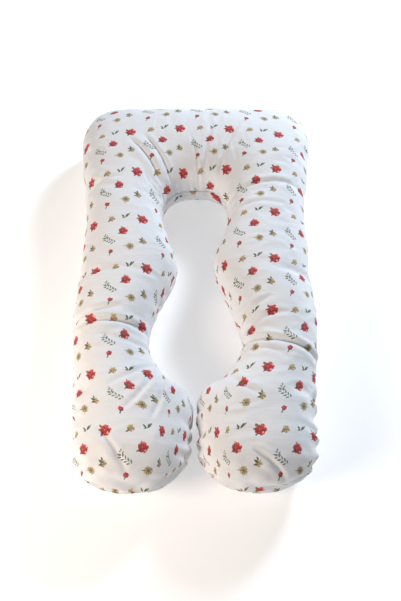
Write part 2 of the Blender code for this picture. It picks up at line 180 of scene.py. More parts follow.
def new_object(name, points, faces):
    mesh = bpy.data.meshes.new(name)
    mesh.from_pydata([tuple(point) for point in points], [], [tuple(map(int, face)) for face in faces])
    mesh.update()
    made = bpy.data.objects.new(name, mesh)
    bpy.context.scene.collection.objects.link(made)
    return made


def only(*chosen):
    """Makes these the selected objects and the last of them the active one."""
    bpy.ops.object.select_all(action="DESELECT")
    for one in chosen:
        one.select_set(True)
    bpy.context.view_layer.objects.active = chosen[-1]


def points_of(made):
    flat = np.empty(len(made.data.vertices) * 3, np.float32)
    made.data.vertices.foreach_get("co", flat)
    return flat.reshape(-1, 3).astype(float)


def normals_of(made):
    flat = np.empty(len(made.data.vertices) * 3, np.float32)
    made.data.vertex_normals.foreach_get("vector", flat)
    return flat.reshape(-1, 3).astype(float)


def set_points(made, points):
    made.data.vertices.foreach_set("co", points.astype(np.float32).ravel())
    made.data.update()


class Cover:
    """The two panels of the cover as one closed bag: the top grid, then the under grid, which share
    their rim."""

    def __init__(self, fullness):
        top, under, self.flat = cover_grid(fullness)
        self.shape = top.shape[:2]
        stations, rows = self.shape
        self.rim = np.zeros(self.shape, bool)
        self.rim[[0, -1], :] = self.rim[:, [0, -1]] = True
        inside = ~self.rim
        self.top_index = np.arange(stations * rows).reshape(self.shape)
        self.under_index = self.top_index.copy()
        self.under_index[inside] = stations * rows + np.arange(inside.sum())
        self.points = np.concatenate([top.reshape(-1, 3), under[inside]])

    def faces(self):
        grid = grid_faces(*self.shape)
        return np.concatenate([self.top_index.ravel()[grid], self.under_index.ravel()[grid][:, ::-1]])

    def inflate(self, cut, frames, cap):
        """Blows the bag up as cloth of the lengths it was cut to, and returns where its points end."""
        bag = new_object("bag", self.points, self.faces())
        bag.shape_key_add(name="filled")
        cut_key = bag.shape_key_add(name="as_cut")
        cut_key.data.foreach_set("co", cut.points.astype(np.float32).ravel())
        bag.active_shape_key_index = 0
        held = bag.vertex_groups.new(name="held")
        low = self.points[:, 2] < 0.035
        for weight, chosen in ((0.9, low), (0.06, ~low)):
            held.add(np.flatnonzero(chosen).tolist(), weight, "REPLACE")
        only(bag)
        modifier = bag.modifiers.new("inflation", "CLOTH")
        settings = modifier.settings
        settings.rest_shape_key = cut_key
        settings.quality = 6
        settings.mass = 0.25
        settings.tension_stiffness = 20
        settings.compression_stiffness = 20
        settings.shear_stiffness = 8
        settings.bending_stiffness = 0.4
        settings.shrink_min = -0.015
        settings.use_pressure = True
        settings.uniform_pressure_force = 5
        settings.vertex_group_mass = "held"
        settings.pin_stiffness = 1.0
        settings.effector_weights.gravity = 0
        modifier.collision_settings.use_collision = False
        modifier.point_cache.frame_start = 1
        modifier.point_cache.frame_end = frames
        scene = bpy.context.scene
        for step in range(1, frames + 1):
            scene.frame_set(step)
        shaped = bag.evaluated_get(bpy.context.evaluated_depsgraph_get())
        blown = np.empty(len(self.points) * 3, np.float32)
        shaped.data.vertices.foreach_get("co", blown)
        scene.frame_set(1)
        moved = blown.reshape(-1, 3) - self.points
        bpy.data.objects.remove(bag)
        length = np.linalg.norm(moved, axis=1, keepdims=True)
        return self.points + moved * (cap * np.tanh(length / cap) / np.maximum(length, 1e-9))


# ---- Finishes ----

class Value:
    """A socket that Python's operators extend with Math nodes."""

    def __init__(self, finish, socket):
        self.finish, self.socket = finish, socket

    def math(self, operation, *others, clamp=False):
        return self.finish.math(operation, self, *others, clamp=clamp)

    def __add__(self, other):
        return self.math("ADD", other)

    def __sub__(self, other):
        return self.math("SUBTRACT", other)

    def __rsub__(self, other):
        return self.finish.math("SUBTRACT", other, self)

    def __mul__(self, other):
        return self.math("MULTIPLY", other)

    def __truediv__(self, other):
        return self.math("DIVIDE", other)

    def __rtruediv__(self, other):
        return self.finish.math("DIVIDE", other, self)

    def __pow__(self, other):
        return self.math("POWER", other)

    def __abs__(self):
        return self.math("ABSOLUTE")

    def __neg__(self):
        return self.math("MULTIPLY", -1.0)

    __radd__, __rmul__ = __add__, __mul__

    def sin(self):
        return self.math("SINE")

    def frac(self):
        return self.math("FRACT")

    def most(self, other):
        return self.math("MAXIMUM", other)

    def step(self, low, high):
        """0 below low, 1 above high, smooth between."""
        made = self.finish.node("ShaderNodeMapRange", {"interpolation_type": "SMOOTHSTEP"}, {
            "Value": self, "From Min": low, "From Max": high})
        return Value(self.finish, made.outputs["Result"])


class Finish:
    """A material under construction."""

    def __init__(self, name, colour, roughness, **settings):
        self.material = bpy.data.materials.new(name)
        self.material.use_nodes = True
        self.tree = self.material.node_tree
        self.shader = self.tree.nodes["Principled BSDF"]
        self.material.diffuse_color = (*colour, 1)
        self.shader.inputs["Base Color"].default_value = (*colour, 1)
        self.shader.inputs["Roughness"].default_value = roughness
        for socket, value in settings.items():
            self.shader.inputs[socket.replace("_", " ")].default_value = value

    def node(self, kind, settings=None, inputs=None):
        made = self.tree.nodes.new(kind)
        for name, value in (settings or {}).items():
            if name == "stops":
                ramp = made.color_ramp
                while len(ramp.elements) < len(value):
                    ramp.elements.new(1)
                for element, (place, colour) in zip(ramp.elements, value):
                    element.position, element.color = place, (*colour, 1)
            else:
                setattr(made, name, value)
        for name, value in (inputs or {}).items():
            self.connect(value, made.inputs[name])
        return made

    def connect(self, value, socket):
        if isinstance(value, Value):
            self.tree.links.new(value.socket, socket)
        elif isinstance(value, bpy.types.NodeSocket):
            self.tree.links.new(value, socket)
        else:
            socket.default_value = value

    def math(self, operation, *values, clamp=False):
        made = self.node("ShaderNodeMath", {"operation": operation, "use_clamp": clamp})
        for value, socket in zip(values, made.inputs):
            self.connect(value, socket)
        return Value(self, made.outputs["Value"])

    def place(self, scale=1.0, cloth=False):
        """Where a pattern sits: on the piece's own cloth map, or in the room's metres."""
        if cloth:
            source = self.node("ShaderNodeUVMap", {"uv_map": CLOTH_MAP}).outputs["UV"]
        else:
            source = self.node("ShaderNodeTexCoord").outputs["Object"]
        if isinstance(scale, (int, float)):
            scale = (scale,) * 3
        return self.node("ShaderNodeVectorMath", {"operation": "MULTIPLY"}, {0: source, 1: scale}).outputs["Vector"]

    def split(self, vector):
        made = self.node("ShaderNodeSeparateXYZ", inputs={"Vector": vector})
        return [Value(self, made.outputs[axis]) for axis in "XYZ"]

    def clouds(self, vector, size, detail=2.0, rough=0.5):
        made = self.node("ShaderNodeTexNoise", inputs={
            "Vector": vector, "Scale": 1 / size, "Detail": detail, "Roughness": rough})
        return Value(self, made.outputs["Fac"])

    def ramp(self, value, *stops):
        return self.node("ShaderNodeValToRGB", {"stops": stops}, {"Fac": value}).outputs["Color"]

    def mix(self, share, under, over):
        made = self.node("ShaderNodeMix", {"data_type": "RGBA"}, {0: share})
        for value, socket in ((under, made.inputs[6]), (over, made.inputs[7])):
            self.connect(value if not isinstance(value, tuple) else (*value, 1), socket)
        return made.outputs[2]

    def bump(self, height, distance, strength=1.0, normal=None):
        made = self.node("ShaderNodeBump", inputs={
            "Height": height, "Distance": distance, "Strength": strength})
        if normal:
            self.connect(normal, made.inputs["Normal"])
        return made.outputs["Normal"]

    def paint(self, **sockets):
        for name, value in sockets.items():
            self.connect(value, self.shader.inputs[name.replace("_", " ")])
        return self.material


# ---- The printed cotton ----

CLOTH_MAP = "cloth"
REPEAT_ACROSS = 0.169
REPEAT_ALONG = 0.182
COTTON_WHITE = (0.80, 0.81, 0.83)
ROSE_DEEP, ROSE_RED, ROSE_PALE = (0.14, 0.004, 0.008), (0.58, 0.022, 0.028), (0.93, 0.36, 0.29)
TAN_DEEP, TAN, TAN_PALE = (0.17, 0.12, 0.05), (0.50, 0.37, 0.18), (0.78, 0.68, 0.46)
TAN_MID, TAN_LIGHT = (0.34, 0.26, 0.13), (0.74, 0.66, 0.48)
LEAF_DARK, LEAF_GREEN, LEAF_GREY = (0.020, 0.050, 0.042), (0.085, 0.115, 0.060), (0.20, 0.23, 0.15)
INK_EDGE = 0.0007


class FlowerPrint:
    """Small sprigs of roses and leaves, drawn again and again over the cloth."""

    def __init__(self, finish):
        self.finish = finish
        self.colour = COTTON_WHITE
        cloth = finish.place(cloth=True)
        self.u, self.v, _ = finish.split(cloth)
        self.shake_u = (finish.clouds(cloth, 0.006) - 0.5) * 0.0035
        other = finish.node("ShaderNodeVectorMath", {"operation": "ADD"}, {0: cloth, 1: (3.1, 1.7, 0.4)})
        self.shake_v = (finish.clouds(other.outputs["Vector"], 0.006) - 0.5) * 0.0035
        self.rough = finish.clouds(other.outputs["Vector"], 0.0035, 1.0)

    def spot(self, across, along, turn=0.0):
        """Distances from a motif's middle, turned to its own upright, in metres."""
        x = ((self.u / REPEAT_ACROSS - across + 0.5).frac() - 0.5) * REPEAT_ACROSS + self.shake_u
        y = ((self.v / REPEAT_ALONG + along + 0.5).frac() - 0.5) * REPEAT_ALONG + self.shake_v
        if not turn:
            return x, y
        cosine, sine = math.cos(math.radians(turn)), math.sin(math.radians(turn))
        return x * cosine + y * sine, y * cosine - x * sine

    def ink(self, mask, colour):
        self.colour = self.finish.mix(mask, self.colour, colour)

    def blade(self, x, y, start, length, width, turn):
        """How far inside a pointed leaf a spot lies, and its distance across the leaf."""
        cosine, sine = math.cos(math.radians(turn)), math.sin(math.radians(turn))
        along = ((x - start[0]) * cosine + (y - start[1]) * sine) / length
        aside = (y - start[1]) * cosine - (x - start[0]) * sine
        return along * (1 - along) * (width * 2) - abs(aside), aside

    def leaf(self, x, y, start, length, width, turn, dark=LEAF_DARK, light=LEAF_GREEN):
        """A pointed leaf that grows from a start point, with a vein."""
        inside, aside = self.blade(x, y, start, length, width, turn)
        vein = 1 - (abs(aside) / 0.0005).step(0.4, 1.2)
        shade = self.finish.mix((aside / width + 0.5).step(0.1, 0.9), dark, light)
        shade = self.finish.mix(vein * 0.4, shade, LEAF_GREY)
        self.ink(inside.step(0, INK_EDGE), shade)

    def bloom(self, x, y, radius, deep, middle, pale, petal=0.0075, ragged=0.16):
        """A full flower: petals crowded round a dark heart, paler where the light catches them."""
        distance = (x * x + y * y).math("SQRT")
        angle = y.math("ARCTAN2", x)
        edge = 1 + (angle * 5 + radius * 900).sin() * ragged * 0.5 + (self.rough - 0.5) * ragged * 5
        out = distance / radius / edge
        spot = self.finish.node("ShaderNodeCombineXYZ", inputs={"X": x, "Y": y}).outputs["Vector"]
        petals = self.finish.node("ShaderNodeTexVoronoi", {}, {
            "Vector": spot, "Scale": 1 / petal, "Randomness": 0.9})
        tone = self.finish.split(petals.outputs["Color"])[0]
        fold = Value(self.finish, petals.outputs["Distance"])
        light = tone * 0.85 + (x * 0.8 + y) / radius * 0.24 + 0.12 - (1 - out.step(0.0, 0.40)) * 0.20
        shade = light - fold.step(0.38, 0.75) * 0.35
        self.ink(1 - out.step(1 - INK_EDGE / radius, 1),
                 self.finish.ramp(shade, (0.02, deep), (0.30, middle), (0.50, middle), (0.80, pale)))

    def daisy(self, x, y, radius, petals, deep, middle, pale):
        """A flat flower of narrow petals round a button."""
        distance = (x * x + y * y).math("SQRT") / radius
        angle = y.math("ARCTAN2", x)
        comb = (angle * petals + self.rough * 3).sin()
        out = distance / (1 + comb * 0.16 + (self.rough - 0.5) * 0.5)
        shade = comb * 0.22 + distance * 0.45 + 0.22
        shade = shade - (1 - distance.step(0.18, 0.34)) * 0.4
        self.ink(1 - out.step(1 - INK_EDGE / radius, 1),
                 self.finish.ramp(shade, (0.1, deep), (0.45, middle), (0.9, pale)))

    def spray(self, x, y, twigs, colour, light):
        """Loose twigs of small pointed leaves, each leaf standing clear of its stem."""
        drawn = None
        for start_x, start_y, length, turn, pairs, leaf in twigs:
            parts = [(0, 0, length, 0.0011, 0), (length, 0, leaf, leaf * 0.40, 6)]
            for pair in range(pairs):
                far = length * (pair + 0.6) / pairs
                parts += [(far, 0.0010, leaf, leaf * 0.40, 47), (far - leaf * 0.35, -0.0010, leaf, leaf * 0.40, -42)]
            cosine, sine = math.cos(math.radians(turn)), math.sin(math.radians(turn))
            for far, aside, size, width, lean in parts:
                root = (start_x + far * cosine - aside * sine, start_y + far * sine + aside * cosine)
                inside, _ = self.blade(x, y, root, size, width, turn + lean)
                drawn = inside if drawn is None else drawn.most(inside)
        self.ink(drawn.step(-0.0001, 0.0005), self.finish.mix(self.rough.step(0.4, 0.6), colour, light))


def printed_cotton():
    finish = Finish("printed_cotton", COTTON_WHITE, 0.82, Sheen_Weight=0.06, Sheen_Roughness=0.4,
                    Specular_IOR_Level=0.2)
    flowers = FlowerPrint(finish)

    x, y = flowers.spot(0, 0)
    flowers.leaf(x, y, (-0.008, 0.006), 0.014, 0.008, 128)
    flowers.leaf(x, y, (-0.010, 0.001), 0.012, 0.006, 172)
    flowers.leaf(x, y, (-0.007, -0.009), 0.011, 0.005, 228)
    flowers.bloom(x, y, 0.0160, ROSE_DEEP, ROSE_RED, ROSE_PALE, ragged=0.11)
    flowers.leaf(x, y, (-0.003, 0.004), 0.012, 0.005, 140)

    x, y = flowers.spot(-0.39, 0.26)
    flowers.leaf(x, y, (-0.002, 0.009), 0.010, 0.005, 105)
    flowers.leaf(x, y, (-0.009, -0.006), 0.011, 0.005, 212)
    flowers.bloom(x, y, 0.0145, ROSE_DEEP, ROSE_RED, ROSE_PALE, ragged=0.11)
    flowers.leaf(x, y, (-0.001, 0.001), 0.014, 0.007, 165)

    x, y = flowers.spot(0.41, -0.02)
    flowers.leaf(x, y, (-0.004, -0.004), 0.013, 0.005, 212, LEAF_DARK, LEAF_GREEN)
    flowers.bloom(x, y, 0.0105, TAN_DEEP, TAN, TAN_PALE, 0.0045)

    x, y = flowers.spot(-0.04, 0.49)
    flowers.leaf(x, y, (0.000, 0.003), 0.016, 0.006, 108)
    flowers.bloom(x, y, 0.0098, TAN_DEEP, TAN, TAN_PALE, 0.0045)
    flowers.leaf(x, y, (0.001, 0.001), 0.018, 0.007, 148)
    flowers.leaf(x, y, (-0.003, -0.002), 0.013, 0.005, 192)

    x, y = flowers.spot(-0.29, -0.41)
    flowers.leaf(x, y, (-0.008, 0.000), 0.014, 0.003, 175, LEAF_GREEN, LEAF_GREY)
    flowers.leaf(x, y, (0.000, -0.006), 0.012, 0.003, -110, LEAF_GREEN, LEAF_GREY)
    flowers.daisy(x, y, 0.0128, 7, TAN_DEEP, TAN_MID, TAN_LIGHT)

    x, y = flowers.spot(0.34, -0.34, 20)
    flowers.leaf(x, y, (-0.003, -0.004), 0.014, 0.004, 225, LEAF_DARK, LEAF_GREEN)
    flowers.bloom(x, y, 0.0080, ROSE_DEEP, ROSE_RED, ROSE_PALE, 0.0060)
    flowers.leaf(x, y, (0.003, -0.003), 0.011, 0.005, 195, LEAF_DARK, LEAF_GREEN)

    x, y = flowers.spot(-0.32, -0.07)
    flowers.leaf(x, y, (-0.002, -0.009), 0.025, 0.0060, 46, LEAF_GREEN, LEAF_GREY)
    flowers.leaf(x, y, (-0.002, -0.010), 0.020, 0.0050, 62)
    flowers.leaf(x, y, (-0.003, -0.009), 0.016, 0.0060, 128)
    flowers.leaf(x, y, (-0.003, -0.010), 0.010, 0.0040, 165)

    x, y = flowers.spot(0.30, 0.41)
    flowers.spray(x, y, ((0.024, -0.017, 0.038, 146, 4, 0.0120), (-0.003, 0.001, 0.015, 98, 2, 0.0095)),
                  LEAF_GREEN, LEAF_GREY)

    cloth = finish.place(cloth=True)
    thread = 2 * math.pi / 0.0011
    weave = (flowers.u * thread).sin() * (flowers.v * thread).sin()
    slubs = finish.clouds(finish.place((1, 0.12, 1), cloth=True), 0.0016, 3.0)
    crush = finish.clouds(cloth, 0.014, 4.0, 0.6)
    ripple = finish.clouds(finish.place((0.22, 1.0, 1), cloth=True), 0.016, 3.0, 0.55)
    height = weave * 0.10 + slubs * 0.22 + crush * 0.9 + ripple * 3.2
    worn = finish.mix((slubs - 0.5) * 0.12 + 0.06, flowers.colour, (0.80, 0.79, 0.77))
    return finish.paint(Base_Color=worn, Roughness=0.86 - slubs * 0.10,
                        Normal=finish.bump(height, 0.0009, 0.55))


# ---- Other finishes ----

def inner_casing():
    finish = Finish("nonwoven_casing", (0.86, 0.86, 0.84), 0.9)
    place = finish.place()
    fibres = finish.clouds(place, 0.004, 6.0, 0.7)
    dimples = finish.node("ShaderNodeTexVoronoi", {}, {"Vector": place, "Scale": 1 / 0.0025}).outputs["Distance"]
    return finish.paint(
        Base_Color=finish.ramp(fibres, (0.3, (0.78, 0.78, 0.76)), (0.7, (0.90, 0.90, 0.88))),
        Normal=finish.bump(fibres + Value(finish, dimples) * 0.5, 0.0005, 0.6))


def loose_fibre():
    finish = Finish("polyester_fibre", (0.93, 0.93, 0.92), 0.95)
    place = finish.place()
    tufts = finish.clouds(place, 0.020, 8.0, 0.75)
    return finish.paint(
        Base_Color=finish.ramp(tufts, (0.25, (0.82, 0.82, 0.81)), (0.75, (0.96, 0.96, 0.95))),
        Normal=finish.bump(tufts, 0.004, 0.9))


def tape_weave():
    finish = Finish("zip_tape_cloth", (0.84, 0.84, 0.83), 0.8)
    x, _, z = finish.split(finish.place())
    rib = 2 * math.pi / 0.0009
    twill = (x * rib + abs((z * 400).frac() - 0.5) * 7).sin() * (z * rib).sin()
    fuzz = finish.clouds(finish.place(), 0.003, 3.0)
    return finish.paint(
        Base_Color=finish.ramp(twill * 0.3 + fuzz, (0.2, (0.72, 0.72, 0.71)), (0.8, (0.88, 0.88, 0.87))),
        Normal=finish.bump(twill, 0.00025, 0.7))


def coil_nylon():
    finish = Finish("zip_nylon", (0.82, 0.82, 0.80), 0.38)
    haze = finish.clouds(finish.place(), 0.006, 3.0)
    return finish.paint(
        Base_Color=finish.ramp(haze, (0.3, (0.76, 0.76, 0.73)), (0.7, (0.88, 0.88, 0.86))),
        Roughness=haze * 0.2 + 0.28)


def plated_metal():
    finish = Finish("nickel_plate", (0.70, 0.69, 0.67), 0.25, Metallic=1.0)
    place = finish.place()
    brushed = finish.clouds(finish.place((1, 6, 6)), 0.0012, 3.0)
    smudge = finish.clouds(place, 0.004, 2.0)
    return finish.paint(
        Base_Color=finish.ramp(smudge, (0.3, (0.60, 0.59, 0.57)), (0.7, (0.78, 0.77, 0.75))),
        Roughness=brushed * 0.16 + smudge * 0.14 + 0.12,
        Normal=finish.bump(brushed, 0.00006, 0.5))


def woven_satin():
    finish = Finish("label_satin", (0.90, 0.90, 0.88), 0.45, Sheen_Weight=0.2)
    x, _, z = finish.split(finish.place())
    floats = (x * (2 * math.pi / 0.0006) + z * 900).sin()
    haze = finish.clouds(finish.place(), 0.005, 2.0)
    return finish.paint(
        Base_Color=finish.ramp(haze, (0.3, (0.84, 0.84, 0.81)), (0.7, (0.93, 0.93, 0.91))),
        Roughness=haze * 0.2 + 0.35, Normal=finish.bump(floats, 0.00008, 0.5))


def seam_thread():
    finish = Finish("seam_thread", (0.86, 0.87, 0.89), 0.6)
    twist = (finish.split(finish.place())[0] * (2 * math.pi / 0.0005)).sin()
    return finish.paint(
        Base_Color=finish.ramp(twist * 0.5 + 0.5, (0.1, (0.74, 0.75, 0.77)), (0.9, (0.92, 0.93, 0.95))),
        Normal=finish.bump(twist, 0.0001, 0.5))


def pale_floor():
    finish = Finish("pale_floor", (0.93, 0.93, 0.93), 0.8, Emission_Color=(1, 1, 1, 1), Emission_Strength=0.28)
    mottle = finish.clouds(finish.place(), 0.8, 2.0)
    return finish.paint(Base_Color=finish.ramp(mottle, (0.0, (0.92, 0.92, 0.92)), (1.0, (0.95, 0.95, 0.95))))


# ---- Creases pressed into the cover: start x, y and end x, y on the plan, width, depth, bow ----

CREASES = (
    (-0.020, 0.500, 0.012, 0.330, 0.0050, 0.0030, 0.010),
    (-0.225, 0.480, -0.115, 0.325, 0.0110, 0.0070, 0.012),
    (-0.180, 0.500, -0.080, 0.345, 0.0090, 0.0050, 0.008),
    (0.155, 0.550, 0.080, 0.360, 0.0120, 0.0070, -0.012),
    (0.061, 0.550, 0.030, 0.380, 0.0080, 0.0045, -0.006),
    (0.098, 0.270, 0.350, 0.300, 0.0100, 0.0060, 0.015),
    (0.110, 0.200, 0.300, 0.210, 0.0090, 0.0035, 0.010),
    (-0.380, 0.290, -0.240, 0.325, 0.0090, 0.0050, 0.008),
    (-0.300, -0.045, -0.110, -0.060, 0.0110, 0.0028, 0.010),
    (-0.380, -0.208, -0.215, -0.178, 0.0110, 0.0085, 0.004),
    (-0.355, -0.224, -0.140, -0.236, 0.0110, 0.0095, 0.006),
    (-0.290, -0.268, -0.130, -0.290, 0.0110, 0.0040, -0.006),
    (0.112, -0.262, 0.378, -0.322, 0.0110, 0.0095, 0.005),
    (0.118, -0.215, 0.235, -0.145, 0.0100, 0.0048, 0.006),
    (0.122, -0.238, 0.285, -0.198, 0.0100, 0.0050, 0.008),
    (0.160, -0.300, 0.270, -0.345, 0.0100, 0.0035, 0.006),
    (-0.122, -0.352, -0.245, -0.435, 0.0100, 0.0060, 0.008),
    (-0.110, -0.380, -0.195, -0.510, 0.0100, 0.0055, 0.010),
    (-0.085, -0.395, -0.120, -0.540, 0.0090, 0.0040, 0.008),
    (0.090, -0.375, 0.190, -0.470, 0.0110, 0.0050, -0.010),
    (0.155, -0.620, 0.250, -0.690, 0.0100, 0.0060, 0.006),
    (-0.270, -0.560, -0.180, -0.680, 0.0110, 0.0045, 0.008),
)


def creased(points, normals):
    """Lays the creases into the upper side of the cover: a furrow with a soft ridge on both sides."""
    moved = np.zeros(len(points))
    above = np.clip((points[:, 2] - SEAM_HEIGHT) / 0.030, 0, 1)
    for start_x, start_y, end_x, end_y, width, depth, bow in CREASES:
        way = np.array([end_x - start_x, end_y - start_y])
        length = np.linalg.norm(way)
        way /= length
        offset = points[:, :2] - (start_x, start_y)
        along = offset @ way / length
        taper = np.sqrt(np.sin(np.pi * np.clip(along, 0, 1)))
        aside = offset @ (-way[1], way[0]) - bow * np.sin(np.pi * np.clip(along, 0, 1))
        near = aside / (width * 0.62)
        shape = -np.exp(-np.abs(near) ** 1.6) + 0.55 * np.exp(-((near - 2.3) / 1.5) ** 2)
        shape += 0.30 * np.exp(-((near + 2.6) / 1.8) ** 2)
        moved += depth * 1.15 * taper * shape * above
    return points + normals * moved[:, None]


def field(points, size, seed):
    """Soft unevenness from -1 to 1, the same on every run."""
    return np.array([noise.noise(Vector(point) / size + Vector((seed, 0, 0))) for point in points.tolist()])


# ---- The cover's panels ----

def print_place(flat):
    """Where the print falls on the cut cloth: it leans in towards the feet, as the cloth was laid."""
    u, v = flat[:, 0].copy(), flat[:, 1].copy()
    right_lean = np.interp(-v, (-0.53, -0.35, 0.01, 0.20, 0.38, 0.57), (0, 0.017, 0.035, 0.055, 0.075, 0.105))
    left_lean = np.interp(-v, (-0.52, -0.33, -0.14, 0.05, 0.40, 0.56), (0, 0.031, 0.052, 0.073, 0.091, 0.148))
    to_right = np.clip((u + 0.10) / 0.20, 0, 1)
    u += right_lean * to_right - left_lean * (1 - to_right)
    arch = 0.022 * np.clip(1 - (flat[:, 0] / 0.26) ** 2, 0, 1) * np.clip((flat[:, 1] - 0.2) / 0.2, 0, 1)
    sag = 0.022 * np.sin(np.pi * np.clip((0.52 - v) / 1.08, 0, 1)) * (to_right * -0.5 + (1 - to_right))
    lower = 0.028 * np.clip((flat[:, 1] - 0.38) / 0.12, 0, 1)
    return np.column_stack([u - 0.286 + REPEAT_ACROSS, v - 0.525 - arch + sag + lower])


def zip_window(x):
    near_end = np.where(x > 0, ZIP_WINDOW_ENDS[1] - x, x - ZIP_WINDOW_ENDS[0])
    ends = np.clip((near_end - 0.0005) / 0.012, 0, 1)
    return ends * ends * (3 - 2 * ends)


def stretch(points):
    """Small wrinkles run across the legs and fan out from the head's inner curve."""
    across = np.clip((points[:, 1] - 0.22) / 0.12, 0, 1) * np.clip(1 - (np.abs(points[:, 0]) - 0.12) / 0.12, 0, 1)
    return np.column_stack([0.30 + 0.70 * across, 1 - 0.70 * across, np.full(len(points), 0.7)])


def cover_panel(name, cover, points, side, look):
    """One panel of the inflated bag: made finer, creased, drawn in at its seam and given its cloth."""
    index = cover.top_index if side > 0 else cover.under_index
    faces = grid_faces(*cover.shape)
    panel = new_object(name, points[index.ravel()], faces if side > 0 else faces[:, ::-1])
    stations, rows = cover.shape
    flat = cover.flat.reshape(-1, 2)
    station, row = np.divmod(np.arange(stations * rows), rows)
    leg_of_station = np.sign(points[index.ravel(), 0].reshape(stations, rows).mean(axis=1))
    cloth_from_end = np.minimum(station, stations - 1 - station) * CELL
    cloth_from_side = np.minimum(row, rows - 1 - row) * CELL
    for attribute, values in (("to_seam", np.minimum(cloth_from_end, cloth_from_side)),
                              ("at_back", (row * 2 < rows) * 1.0), ("along", station * CELL),
                              ("leg", leg_of_station[station])):
        panel.data.attributes.new(attribute, "FLOAT", "POINT").data.foreach_set("value", values.astype(np.float32))
    cloth = panel.data.uv_layers.new(name=CLOTH_MAP)
    corners = np.empty(len(panel.data.loops), np.int32)
    panel.data.loops.foreach_get("vertex_index", corners)
    laid = print_place(flat) if side > 0 else flat * (-1, 1) + UNDER_CUT
    cloth.data.foreach_set("uv", laid[corners].astype(np.float32).ravel())
    only(panel)
    finer = panel.modifiers.new("finer", "SUBSURF")
    finer.levels = finer.render_levels = 1
    bpy.ops.object.modifier_apply(modifier="finer")

    spots, normals = points_of(panel), normals_of(panel)
    read = {key: np.empty(len(spots), np.float32) for key in ("to_seam", "at_back", "along", "leg")}
    for key, values in read.items():
        panel.data.attributes[key].data.foreach_get("value", values)
        panel.data.attributes.remove(panel.data.attributes[key])
    to_seam, along = read["to_seam"].astype(float), read["along"].astype(float)
    spots += normals * (field(spots, 0.11, 3.0) * 0.0035 + field(spots, 0.035, 9.0) * 0.0011)[:, None]
    drawn_tight = 1 - np.abs(field(spots * stretch(spots), 0.030, 31.0))
    slack = np.clip(field(spots, 0.10, 41.0) * 1.8 + 0.55, 0, 1)
    spots += normals * (drawn_tight ** 3 * slack * 0.0030 - 0.0010)[:, None]
    if side > 0:
        spots = creased(spots, normals)
    away = np.column_stack([normals[:, :2], np.zeros(len(spots))])
    lively = 0.35 + 0.65 * np.clip(field(spots, 0.09, 21.0) * 1.6 + 0.4, 0, 1)
    lively *= np.where(spots[:, 1] < -0.38, 1.5, 1.0)
    at_feet = np.clip((-0.36 - spots[:, 1]) / 0.10, 0, 1)
    wander = field(spots * (1, 1, 0), 0.06, 5.0) * 4.0
    wave = np.sin(along * (2 * math.pi / 0.031) + wander)
    scallop = np.sin(along * (2 * math.pi / 0.058) + wander * 0.8)
    pucker = 0.0024 * lively * wave * np.exp(-to_seam / 0.020) * (1 - np.exp(-to_seam / 0.004))
    pucker += (0.0014 + 0.0072 * at_feet) * scallop * np.exp(-to_seam / 0.045)
    pull = -0.0045 * np.exp(-to_seam / 0.0045) - 0.0016 * np.exp(-to_seam / 0.016)
    zipped = zip_window(spots[:, 0]) * (read["at_back"] > 0.5) * (spots[:, 1] > 0.5)
    spots += normals * (pucker * (1 - zipped))[:, None] + away * (pull * (1 - zipped))[:, None]
    hold = (zipped * np.exp(-(to_seam / 0.026) ** 2))[:, None]
    opened = np.column_stack([
        spots[:, 0], BACK - 0.0062 + 0.0052 * np.clip(to_seam / 0.030, 0, 1) ** 0.8,
        SEAM_HEIGHT + side * (ZIP_GAP + to_seam * 0.96)])
    spots = spots * (1 - hold) + opened * hold
    spots[:, 2] = np.maximum(spots[:, 2], 0)
    spots[:, 0] = keep_apart(spots, np.sign(read["leg"].astype(float)))
    set_points(panel, spots)
    panel.data.shade_smooth()
    panel.data.materials.append(look)
    doubled = panel.modifiers.new("cloth", "SOLIDIFY")
    doubled.thickness, doubled.offset = COVER_CLOTH, -1
    only(panel)
    bpy.ops.object.modifier_apply(modifier="cloth")
    return panel


def keep_apart(points, leg, gap=FEET_GAP):
    """Each foot is eased back to its own side, so the two come close and never meet."""
    own_side = points[:, 0] * leg
    eased = leg * (own_side + np.sqrt(own_side ** 2 + 4 * gap ** 2)) / 2
    return np.where(points[:, 1] < FEET_START, eased, points[:, 0])


def inner_layer(name, cover, points, normals, depth, sides, look, step=2):
    """A layer under the cover, the same form drawn in by its depth."""
    drawn = points - normals * depth
    drawn[:, 1] = np.minimum(drawn[:, 1], BACK - 0.0005 - depth)
    drawn[:, 2] = np.maximum(drawn[:, 2], depth * 0.35)
    drawn += normals * (field(drawn, 0.05, depth * 900)[:, None] * 0.0015 - 0.0015)
    faces = []
    stations = list(range(0, cover.shape[0], step))
    rows = list(range(0, cover.shape[1], step))
    for side in sides:
        index = (cover.top_index if side > 0 else cover.under_index)[np.ix_(stations, rows)]
        quads = index.ravel()[grid_faces(len(stations), len(rows))]
        faces.append(quads if side > 0 else quads[:, ::-1])
    faces = np.concatenate(faces)
    used, faces = np.unique(faces, return_inverse=True)
    piece = new_object(name, drawn[used], faces.reshape(-1, 4))
    only(piece)
    finer = piece.modifiers.new("finer", "SUBSURF")
    finer.levels = finer.render_levels = 1
    bpy.ops.object.modifier_apply(modifier="finer")
    if len(sides) == 1:
        doubled = piece.modifiers.new("cloth", "SOLIDIFY")
        doubled.thickness, doubled.offset = 0.0006, -1
        bpy.ops.object.modifier_apply(modifier="cloth")
    piece.data.shade_smooth()
    piece.data.materials.append(look)
    return piece


cotton = printed_cotton()
casing, fibre = inner_casing(), loose_fibre()
cover = Cover(1.0)
filled = cover.inflate(Cover(0.55), SWELL_FRAMES, SWELL_LIMIT)
bag = new_object("bag", filled, cover.faces())
bag_normals = normals_of(bag)
bpy.data.objects.remove(bag)

